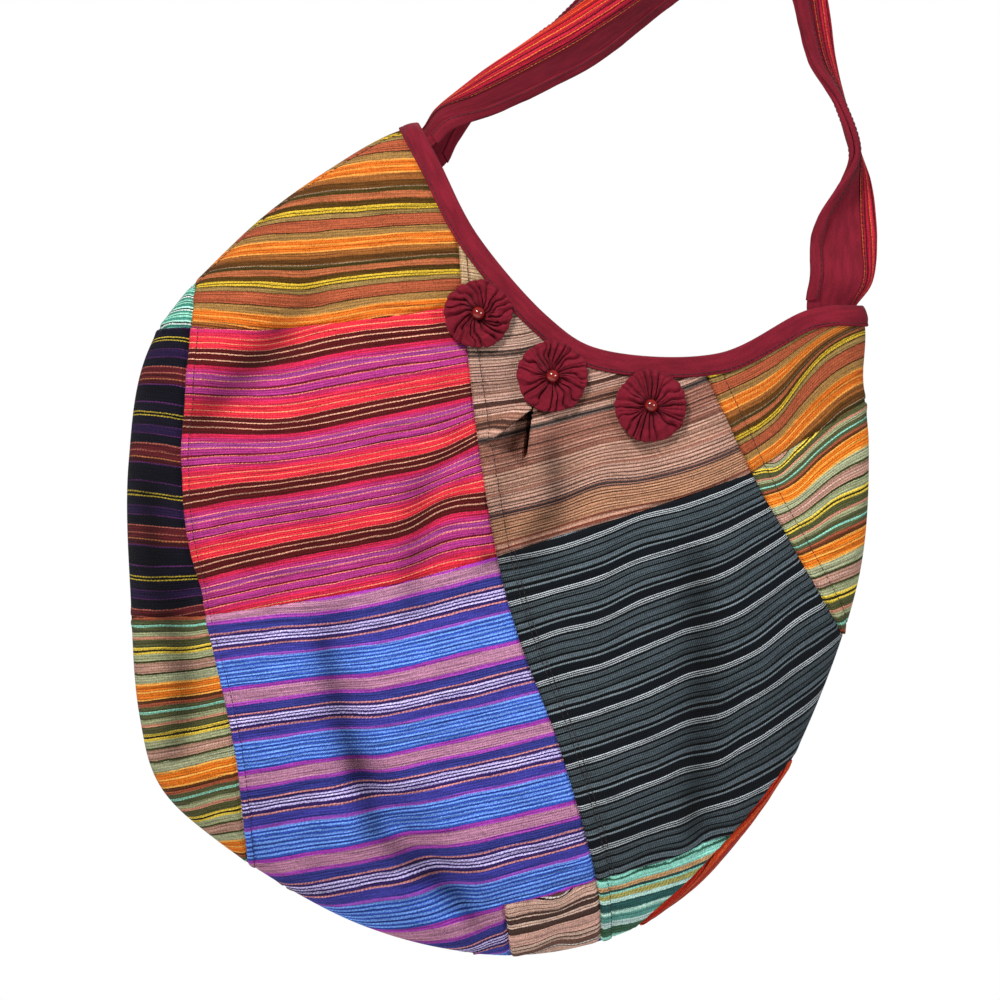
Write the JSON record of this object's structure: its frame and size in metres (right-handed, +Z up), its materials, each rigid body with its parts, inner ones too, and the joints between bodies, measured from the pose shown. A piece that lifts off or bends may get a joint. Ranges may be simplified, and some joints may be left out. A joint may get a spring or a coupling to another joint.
{
  "type": "patchwork shoulder bag",
  "caption": "Slouchy rounded shoulder bag of striped cotton patchwork with a bound scooped mouth, a wide folded strap with a striped band, and gathered beaded rosettes.",
  "frame": {"origin": "underside of the strap at its highest point, where the bag hangs from a hook, rail or shoulder", "axes": "+Z up along the line the bag hangs on, the patchwork front with the rosettes faces -Y, +X to the right as the front is seen"},
  "size_m": [0.4369, 0.1039, 0.6623],
  "materials": {
    "cloth_teal": "teal and mint striped handloom cotton, matt",
    "cloth_navy": "navy striped handloom cotton with purple and red lines, matt",
    "cloth_olive": "green, sage and orange striped handloom cotton, matt",
    "cloth_amber": "orange, rust and tan striped handloom cotton, matt",
    "cloth_magenta": "scarlet, magenta and purple striped handloom cotton, matt",
    "cloth_blue": "blue, violet and navy striped handloom cotton, matt",
    "cloth_cocoa": "pale brown striped handloom cotton, matt",
    "cloth_taupe": "taupe, grey-brown and cream striped handloom cotton, matt",
    "cloth_charcoal": "black and steel-grey striped handloom cotton with white lines, matt",
    "cloth_mint": "mint striped handloom cotton with yellow and rust lines, matt",
    "cloth_citrus": "orange, yellow and green striped handloom cotton, matt",
    "cloth_red": "orange-red striped handloom cotton, matt",
    "maroon": "plain maroon cotton, matt",
    "band": "red, orange and dark maroon striped handloom cotton, matt",
    "rosette": "maroon cotton gathered into pleats, matt",
    "bead": "glossy red"
  },
  "bodies": {
    "root": {"patch_front_teal": "cloth_teal", "patch_front_navy": "cloth_navy", "patch_front_olive": "cloth_olive", "patch_front_amber": "cloth_amber", "patch_front_magenta": "cloth_magenta", "patch_front_blue": "cloth_blue", "patch_front_cocoa": "cloth_cocoa", "patch_front_taupe": "cloth_taupe", "patch_front_charcoal": "cloth_charcoal", "patch_front_mint": "cloth_mint", "patch_front_citrus_upper": "cloth_citrus", "patch_front_citrus_lower": "cloth_citrus", "patch_front_red": "cloth_red", "patch_back_olive": "cloth_olive", "patch_back_magenta": "cloth_magenta", "patch_back_charcoal": "cloth_charcoal", "patch_back_navy": "cloth_navy", "patch_back_amber": "cloth_amber", "patch_back_blue": "cloth_blue", "mouth_binding": "maroon", "strap": "maroon", "strap_band": "band", "strap_edge_front": "maroon", "strap_edge_back": "maroon", "rosette_1": "rosette", "rosette_2": "rosette", "rosette_3": "rosette", "bead_1": "bead", "bead_2": "bead", "bead_3": "bead"}
  },
  "joints": []
}
